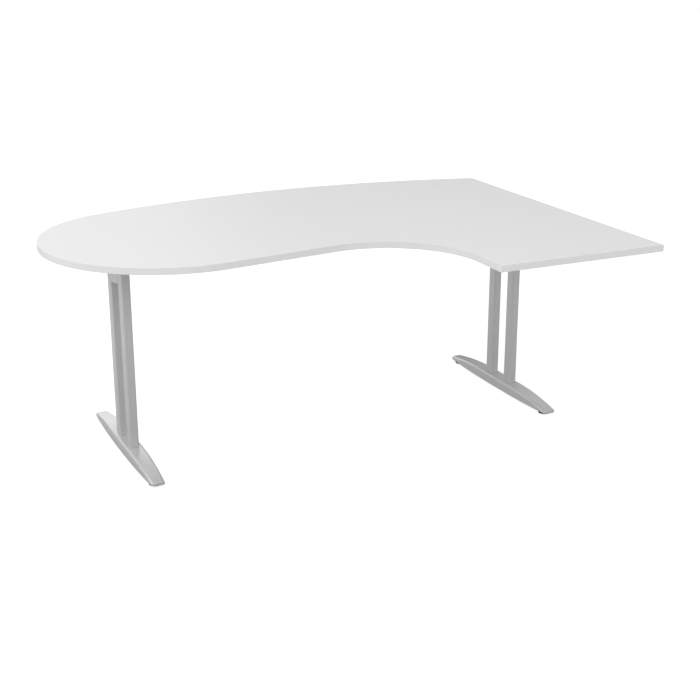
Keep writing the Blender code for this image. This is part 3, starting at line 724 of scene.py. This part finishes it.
def foot_outline():
    """The outline from above, counter-clockwise, and its outward normals from the neighbours' difference."""
    corner = FOOT["tip_corner"]
    side_y = np.linspace(0, FOOT["half"] - corner, FOOT_STEPS["side"] + 1)
    cosines, sines = (value[1:] for value in quarter(FOOT_STEPS["corner"]))
    corner_y = FOOT["half"] - corner + corner * sines
    corner_x = foot_half_width(corner_y) - corner * (1 - cosines)
    nose_x = np.linspace(corner_x[-1], 0, FOOT_STEPS["nose"] + 1)[1:]
    x = np.concatenate((foot_half_width(side_y), corner_x, nose_x))
    y = np.concatenate((side_y, corner_y, np.full_like(nose_x, FOOT["half"])))
    quadrant = np.stack((x, y), axis=-1)
    half = np.concatenate((quadrant, quadrant[-2::-1] * (-1, 1)))
    loop = np.concatenate((half, -half[1:-1]))
    tangent = np.roll(loop, -1, axis=0) - np.roll(loop, 1, axis=0)
    normal = np.stack((tangent[:, 1], -tangent[:, 0]), axis=-1)
    return loop, normal / np.linalg.norm(normal, axis=-1, keepdims=True)


foot_loop, foot_normal = foot_outline()
# The fillet is full where the outline looks sideways and shrinks to the nose's where it looks along the foot
foot_fillet = FOOT["nose"] + (FOOT["fillet"] - FOOT["nose"]) * foot_normal[:, :1] ** 2
print("foot outline:", len(foot_loop), "points, smallest fillet", foot_fillet.min().round(4))


# %% Loops of the foot
CROWN_STEPS = 5
SPINE_SHARE = 0.985
FILLET_STEPS = 8
SIDE_STEPS = 4
RIM_ROUND = 0.0007
RIM_STEPS = 3


def skin_loops(inset, fillet):
    """Loops from the middle line over the crown and round the fillet, for one skin of the sheet.

    On the crown a loop is a mix of the fillet's first loop and the middle line. On the fillet the inset is
    the radius times one less a cosine, and the drop is the radius times one less a sine."""
    start = foot_loop - (inset + fillet) * foot_normal
    spine = start * (0, SPINE_SHARE)
    share = (np.linspace(0, 1, CROWN_STEPS + 1) ** 0.5)[:, None, None]
    flat = spine * (1 - share) + start * share
    turn = np.linspace(np.pi / 2, 0, FILLET_STEPS + 1)[1:, None, None]
    edge = foot_loop - (inset + fillet * (1 - np.cos(turn))) * foot_normal
    drop = (fillet * (1 - np.sin(turn)))[..., 0]
    return np.concatenate((lifted(flat, arched(flat[..., 1], "top", "tip_top") - inset),
                           lifted(edge, arched(edge[..., 1], "top", "tip_top") - inset - drop)))


def side_loops(inset, upper, lower):
    """The loops between an upper and a lower loop of one inset, by even shares of the way down."""
    share = np.linspace(0, 1, SIDE_STEPS + 1)[1:-1, None]
    height = upper * (1 - share) + lower * share
    return lifted(np.broadcast_to(foot_loop - inset * foot_normal, height.shape + (2,)), height)


def rim_loops():
    """Loops round the lower edge: half of a stadium, from the outer side through the underside."""
    inset, rise = (RIM_ROUND * (1 - value) for value in quarter(RIM_STEPS))
    inset = np.concatenate((inset, FOOT["wall"] - inset[::-1]))
    flat = foot_loop - inset[:, None, None] * foot_normal
    return lifted(flat, arched(flat[..., 1], "rim", "tip_rim") + np.append(rise, rise[::-1])[:, None])


def foot_grid():
    """The whole pressing about the leg's middle, from the crown's middle line to the ceiling's."""
    wall = FOOT["wall"]
    outer = skin_loops(0, foot_fillet)
    inner = skin_loops(wall, np.maximum(foot_fillet - wall, LEAST_RADIUS))
    rim = rim_loops()
    down = side_loops(0, outer[-1, :, 2], rim[0, :, 2])
    up = side_loops(wall, inner[-1, :, 2], rim[-1, :, 2])
    return np.concatenate((outer, down, rim, up[::-1], inner[::-1]))


foot_points = foot_grid()
print("foot grid:", foot_points.shape)

# %% [markdown]
# ## Turned shapes
#
# Pads, bolts, studs and sleeves are turned: a profile of radii and heights is carried round an axis. A third
# number in the profile, from 0 to 1, squeezes the circle into a hexagon, for key sockets and for the hub
# that a spanner grips.

# %% Turned shapes and hexagons
TURN_STEPS = 48
ROUNDING_STEPS = 5


def turned(profile, steps=TURN_STEPS):
    """Rows round the Z axis from (radius, height, six) points: a circle where six is 0, a hexagon where 1.

    A hexagon's radius is its corner radius times cos 30 degrees over the cosine of the angle from the
    middle of the nearest side."""
    radius, height, six = np.asarray(profile, float).T[:, :, None]
    turn = np.arange(steps) * 2 * np.pi / steps
    side = np.cos(np.pi / 6) / np.cos(np.mod(turn, np.pi / 3) - np.pi / 6)
    reach = radius * (1 - six + six * side)
    return np.stack((reach * np.cos(turn), reach * np.sin(turn), height + 0 * turn), axis=-1)


def rounded_profile(corners):
    """A profile of (radius, height, six) from corners (radius, height, rounding): each corner with a
    rounding becomes a curve whose points mix its two neighbours and itself in the squares of a share."""
    corners = np.asarray(corners, float)
    share = np.linspace(0, 1, ROUNDING_STEPS + 1)[:, None]
    rows = [corners[:1, :2]]
    for before, here, after in zip(corners[:-2, :2], corners[1:-1], corners[2:, :2]):
        here, rounding = here[:2], here[2]
        if rounding:
            start = here + (before - here) * rounding / np.hypot(*(before - here))
            end = here + (after - here) * rounding / np.hypot(*(after - here))
            rows.append(start * (1 - share) ** 2 + 2 * here * share * (1 - share) + end * share ** 2)
        else:
            rows.append(here[None])
    return np.pad(np.concatenate(rows + [corners[-1:, :2]]), ((0, 0), (0, 1)))


print("a turned disc:", turned(((0.01, 0, 0), (0.01, 0.002, 0))).shape)

# %% Build the feet with their bosses
BOSS = {"radius": 0.012, "face": 0.0085, "hole": 0.0072, "top": 0.0200, "chamfer": 0.0006}
glide_offset = middle("glide_pad_left_rear")[1] - leg_y


def boss(centre_y):
    """A ring that hangs from the ceiling, with the hole for the sleeve: its top follows the arch."""
    profile = ((BOSS["radius"], BOSS["top"], 0), (BOSS["radius"], BOSS["face"] + BOSS["chamfer"], 0),
               (BOSS["radius"] - BOSS["chamfer"], BOSS["face"], 0), (BOSS["hole"], BOSS["face"], 0),
               (BOSS["hole"], BOSS["top"], 0))
    points = turned(profile) + (0, centre_y, 0)
    points[0, :, 2] = arched(points[0, :, 1], "top", "tip_top") - FOOT["wall"] / 2
    return points


for side in SIDES:
    at = (leg_x[side], leg_y, 0)
    shells = [shell(foot_points + at, caps=False)]
    shells += [shell(boss(way * glide_offset) + at) for way in ENDS.values()]
    piece("foot_pressing_" + side, shells, ["foot_" + side])

# %% [markdown]
# ## Levelling glides
#
# Under each foot tip a black pad stands on the floor. Its M8 stud screws up into a brass sleeve in the
# foot's boss. The pad slides with its own body, and the stud turns with another. So that the turn can be
# seen, the stud has a real thread: its radius swings between crest and root once for each pitch.

# %% Shapes of pad, sleeve and stud
PAD = {"radius": 0.021, "thickness": 0.006, "hub": 0.0098, "hub_top": 0.0082, "socket": 0.0043,
       "socket_floor": 0.0023, "hollow": 0.0145, "hollow_depth": 0.0008, "centre": 0.0060,
       "break": 0.0005, "low_round": 0.0010, "high_round": 0.0014, "hub_round": 0.0012, "hub_foot": 0.0030}
STUD = {"radius": 0.004, "root": 0.0034, "low": 0.0025, "high": 0.0197, "chamfer": 0.0008, "rows": 166}
SLEEVE = ((0.0070, 0.0195, 0), (0.0070, 0.0092, 0), (0.0066, 0.0088, 0), (0.0047, 0.0088, 0),
          (0.0043, 0.0092, 0), (0.0043, 0.0195, 0), (0.0046, 0.0198, 0), (0.0067, 0.0198, 0))
PITCH = 0.00125
FLANK = 1.3
STEP = 0.0004


def pad_points():
    """A soft-edged disc with a hexagonal hub above, a socket for the stud and a shallow hollow below."""
    r, t, hub, top, dip = (PAD[key] for key in ("radius", "thickness", "hub", "hub_top", "hollow"))
    edge = PAD["break"]
    disc = rounded_profile(((PAD["centre"], PAD["hollow_depth"], 0), (dip, PAD["hollow_depth"], STEP),
                            (dip + edge, 0, STEP), (r - STEP / 2, 0, PAD["low_round"]),
                            (r, t - STEP, PAD["high_round"]), (hub + PAD["hub_foot"], t, PAD["hub_round"]),
                            (hub + STEP, t - STEP, 0)))
    hub_rows = ((hub, t - STEP, 1), (hub, top - edge, 1), (hub - edge, top, 1), (PAD["centre"], top, 0),
                (PAD["socket"], top, 0), (PAD["socket"], PAD["socket_floor"], 0))
    return turned(np.concatenate((disc, hub_rows)), 2 * TURN_STEPS)


def stud_points():
    """A threaded rod: the radius is the crest less the thread's depth times a triangle wave of turns. The
    wave is stretched by FLANK and clipped, which leaves narrow flats at crest and root."""
    height = np.linspace(STUD["low"], STUD["high"], STUD["rows"])[:, None]
    turn = np.arange(TURN_STEPS)[None] * 2 * np.pi / TURN_STEPS
    wave = np.abs(2 * np.mod(height / PITCH - turn / (2 * np.pi), 1) - 1)
    depth = STUD["radius"] - STUD["root"]
    radius = STUD["radius"] - depth * np.clip(wave * FLANK - (FLANK - 1) / 2, 0, 1)
    from_end = np.minimum(height - STUD["low"], STUD["high"] - height)
    radius = np.minimum(radius, STUD["radius"] - STUD["chamfer"] + from_end)
    return np.stack((radius * np.cos(turn), radius * np.sin(turn), height + 0 * turn), axis=-1)


pad_grid, stud_grid, sleeve_grid = pad_points(), stud_points(), turned(SLEEVE)
print("pad, stud and sleeve grids:", pad_grid.shape, stud_grid.shape, sleeve_grid.shape)

# %% Build the glides
for side in SIDES:
    for end, way in ENDS.items():
        spot = f"{side}_{end}"
        at = (leg_x[side], leg_y + way * glide_offset, 0)
        piece("pad_disc_" + spot, [shell(pad_grid + at)], ["glide_pad_" + spot], "black_plastic",
              "pad_" + spot)
        piece("threaded_stud_" + spot, [shell(stud_grid + at)], ["glide_stud_" + spot], "zinc_steel",
              "stud_" + spot)
        piece("brass_sleeve_" + spot, [shell(sleeve_grid + at, rows_close=True)],
              ["glide_insert_" + spot], "brass_thread")

# %% [markdown]
# ## Rails
#
# Two rectangular tubes tie the legs together. Each ends on a bolted plate, welded down both of its sides. A
# weld bead is a row of overlapping drops: a thin half-buried rod whose radius ripples along its length and
# dies away at its ends.

# %% Build the rails
RAIL = {"width": 0.020, "depth": 0.040, "corner": 0.003, "wall": 0.0015}

for end in ENDS:
    node = "rail_" + end
    low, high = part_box(node)
    loops, x = tube(RAIL, low.x, high.x)
    piece("cross_" + node, [shell(across_desk(loops + middle(node)[1:], x), rows_close=True)], [node])

# %% Build the end plates and their welds
PLATE_EDGE = 0.0004
PLATE_CORNER = 0.003
BEAD = {"radius": 0.0016, "ripple": 0.10, "step": 0.0019, "half_length": 0.0150, "rows": 64, "sides": 14,
        "blunt": 12, "least": 0.0001}


def weld_bead(y, z, x):
    """A bead up one side of a rail: its radius is a ripple along the bead times a blunt dome."""
    along_bead = np.linspace(-1, 1, BEAD["rows"])[:, None]
    turn = np.arange(BEAD["sides"])[None] * 2 * np.pi / BEAD["sides"]
    ripple = 1 + BEAD["ripple"] * np.sin(2 * np.pi * along_bead * BEAD["half_length"] / BEAD["step"])
    radius = BEAD["radius"] * ripple * np.sqrt(1 + BEAD["least"] - along_bead ** BEAD["blunt"])
    return np.stack((x + radius * np.cos(turn), y + radius * np.sin(turn),
                     z + along_bead * BEAD["half_length"] + 0 * turn), axis=-1)


for side in SIDES:
    for end in ENDS:
        spot = f"{end}_{side}"
        low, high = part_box("rail_plate_" + spot)
        y, z = middle("rail_plate_" + spot)[1:]
        inset = np.array((PLATE_EDGE, 0, 0, PLATE_EDGE))
        x = np.array((low.x, low.x + PLATE_EDGE, high.x - PLATE_EDGE, high.x))[:, None]
        loops = rounded_loop(high.y - low.y, high.z - low.z, PLATE_CORNER, inset) + (y, z)
        piece("end_plate_" + spot, [shell(across_desk(loops, x))], ["rail_plate_" + spot])
        face = high.x if side == "left" else low.x
        beads = [shell(weld_bead(y + way * RAIL["width"] / 2, z, face)) for way in ENDS.values()]
        piece("weld_" + spot, beads, ())

# %% [markdown]
# ## Screws and bolts
#
# Every screw is one turned profile: a tip, a shank, a domed head and a hexagon socket. It is drawn along +Z
# with the underside of its head at z = 0, turned to its axis, and put in the middle of its CAD node's box.

# %% Build the screws and bolts
# Radius of the shank and its length, radius and height of the head, radius and depth of the key, dome
SCREWS = {
    "foot_bolt": (0.004, 0.018, 0.0065, 0.0080, 0.0034, 0.0040, 0.0006),
    "rail_bolt": (0.003, 0.012, 0.0055, 0.0034, 0.0023, 0.0018, 0.0016),
    "board_screw": (0.0022, 0.016, 0.0045, 0.0028, 0.0016, 0.0014, 0.0013),
}
SCREW_SIDES = 36
DOME_STEPS = 6
FACE_TO_KEY = 1.12
MOUTH_TO_KEY = 1.04


def screw_points(shank, length, head, height, key, deep, dome):
    """Tip, shank, domed head and socket: the dome is a quarter wave between the head's side and its face."""
    rod = ((shank / 2, length, 0), (shank, length - shank / 2, 0), (shank, 0, 0),
           (head - PLATE_EDGE, 0, 0), (head, -PLATE_EDGE, 0))
    cosines, sines = quarter(DOME_STEPS)
    face = key * FACE_TO_KEY
    cap = np.column_stack((face + (head - face) * cosines, -height + dome * (1 - sines), 0 * sines))
    socket = ((key * MOUTH_TO_KEY, SOFT - height, 1), (key, 2 * SOFT - height, 1), (key, deep - height, 1))
    return turned(np.concatenate((rod, cap, socket)), SCREW_SIDES)


def stand_screw(node, sizes, axis):
    """Turn the screw's +Z to the axis, and put the middle of its length in the middle of the node's box."""
    points = screw_points(*sizes)
    points[..., 2] -= (points[..., 2].min() + points[..., 2].max()) / 2
    turn = np.array(Vector((0, 0, 1)).rotation_difference(Vector(axis)).to_matrix())
    return points @ turn.T + middle(node)


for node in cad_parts:
    kind = next((kind for kind in SCREWS if node.startswith(kind)), None)
    if kind:
        outward = (-1, 0, 0) if "left" in node else (1, 0, 0)
        axis = outward if kind == "rail_bolt" else (0, 0, 1)
        piece("hex_" + node, [shell(stand_screw(node, SCREWS[kind], axis))], [node], "zinc_steel")
    elif node.startswith("upright_plug"):
        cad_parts[node].data.materials.clear()
        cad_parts[node].data.materials.append(finishes["zinc_steel"])
print("screws and bolts:", sum(name.startswith("hex_") for name in pieces), "of", len(pieces), "pieces")

# %% [markdown]
# ## Floor
#
# The desk stands in a white studio. A floor that looks pure white would throw as much light up at the legs
# as the lamps throw down, and flatten them. So there are two floors, one just below the other. The camera
# sees a bright one that gives off most of its own light, with a faint shadow where the desk stands. The
# desk's surfaces see a dimmer one: dimmest in the desk's own shade, brightest in the open floor around it,
# and middling farther off. The glow of both depends on the distance from the middle alone.

# %% Floor
FLOOR_RADIUS = 40.0
FLOOR_MIDDLE = 2.0
FLOOR_SIDES = 96
FLOORS = {
    "seen": {"glow": (0.84, 1.0), "steps": ((2.0, 6.0),), "grey": 0.30, "height": 0},
    "lit": {"glow": (0.302, 0.406, 0.622, 0.425), "steps": ((0.70, 0.90), (1.23, 1.57), (2.29, 2.91)),
            "grey": 0.10, "height": -0.0005},
}


def floor_finish(name, look):
    """Over each step, from one distance to the next, the floor's glow changes to its next value."""
    finish = Finish(name)
    cloud = finish.noise(0.4, 2)
    colour = finish.between(cloud, (look["grey"],) * 3, (look["grey"] + 0.01,) * 3)
    distance = finish.node("ShaderNodeVectorMath", {"operation": "LENGTH"}, {"Vector": finish.place},
                           "Value")
    glow = look["glow"][0]
    for (start, end), before, after in zip(look["steps"], look["glow"], look["glow"][1:]):
        share = finish.node("ShaderNodeMapRange", None,
                            {"Value": distance, "From Min": start, "From Max": end})
        glow = glow + share * (after - before)
    finish.surface(name, Base_Color=colour, Roughness=0.9 + cloud * 0.1, Emission_Strength=1.0,
                   Emission_Color=finish.between(glow, (0, 0, 0), (1, 1, 1)))


def build_floor(name, look):
    """A wide disc: a ring of long faces round a flat middle."""
    floor_finish(name, look)
    height = look["height"]
    loops = turned(((FLOOR_RADIUS, height, 0), (FLOOR_MIDDLE, height, 0)), FLOOR_SIDES)
    faces = grid_faces(2, FLOOR_SIDES).tolist() + [list(range(FLOOR_SIDES, 2 * FLOOR_SIDES))]
    mesh = bpy.data.meshes.new(name)
    mesh.from_pydata(loops.reshape(-1, 3).tolist(), [], faces)
    mesh.materials.append(finishes[name])
    floor = in_scene(name, mesh)
    return floor


seen_floor, lit_floor = (build_floor("studio_floor_" + name, look) for name, look in FLOORS.items())
seen_floor.visible_diffuse = seen_floor.visible_glossy = seen_floor.visible_shadow = False
lit_floor.visible_camera = False
print("floor radius", FLOOR_RADIUS)

# %% [markdown]
# ## Light
#
# Large soft lamps stand on a wide dome round the desk and look at it. They stand far off, so the light
# hardly changes from one end of the top to the other. The white room is there for the camera alone.

# %% Light
ROOM_LIGHT = 1.0
DOME_RADIUS = 9.0
DOME_HEIGHT = 0.4
LAMP_SIZE = 5.4
# Azimuth from +X and elevation, both in degrees, then watts
LAMPS = {
    "left_low": (180, 8, 64),
    "back_left_low": (144, 8, 163),
    "back_low": (90, 18, 165),
    "back_right": (45, 32, 86),
    "front_left": (225, 32, 414),
    "front": (270, 32, 81),
    "front_right": (315, 32, 189),
    "back_left_high": (144, 60, 361),
    "front_high": (288, 60, 103),
}


def build_lamp(name, azimuth, elevation, watts):
    """Stand a lamp on the dome: cosines and sines of its azimuth and elevation times the radius."""
    azimuth, elevation = math.radians(azimuth), math.radians(elevation)
    away = Vector((math.cos(elevation) * math.cos(azimuth), math.cos(elevation) * math.sin(azimuth),
                   math.sin(elevation)))
    light = bpy.data.lights.new(name, "AREA")
    light.size = LAMP_SIZE
    light.energy = watts
    item = in_scene(name, light)
    item.location = Vector((0, 0, DOME_HEIGHT)) + away * DOME_RADIUS
    item.rotation_euler = (-away).to_track_quat("-Z", "Y").to_euler()
    item.visible_camera = False


world = bpy.data.worlds.new("studio_room")
world.use_nodes = True
background = world.node_tree.nodes["Background"]
background.inputs["Color"].default_value = (1, 1, 1, 1)
background.inputs["Strength"].default_value = ROOM_LIGHT
world.cycles_visibility.diffuse = world.cycles_visibility.glossy = False
bpy.context.scene.world = world
for name, lamp in LAMPS.items():
    build_lamp("lamp_" + name, *lamp)
bpy.context.scene.view_settings.view_transform = "Standard"
print("lamps:", LAMPS)

# %% [markdown]
# ## Camera
#
# The camera was solved from the photograph: it stands in front and to the left of the desk, a little above
# eye height, and looks down on it with a fairly long lens.

# %% Camera
CAMERA_PLACE = (-1.7186, -3.8765, 1.7283)
CAMERA_TILT = 71.3398
CAMERA_TURN = -25.2539
CAMERA_LENS = 67.169
SENSOR_WIDTH = 36

lens = bpy.data.cameras.new("camera")
lens.lens = CAMERA_LENS
lens.sensor_width = SENSOR_WIDTH
camera = in_scene("camera", lens)
camera.location = CAMERA_PLACE
camera.rotation_euler = (math.radians(CAMERA_TILT), 0, math.radians(CAMERA_TURN))
bpy.context.scene.camera = camera
print("camera at", CAMERA_PLACE, "lens", CAMERA_LENS, "mm")

# %% Sizes and finish
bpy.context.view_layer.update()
triangles = sum(len(face.vertices) - 2 for item in pieces.values() for face in item.data.polygons)
print(len(pieces), "pieces,", triangles, "triangles")
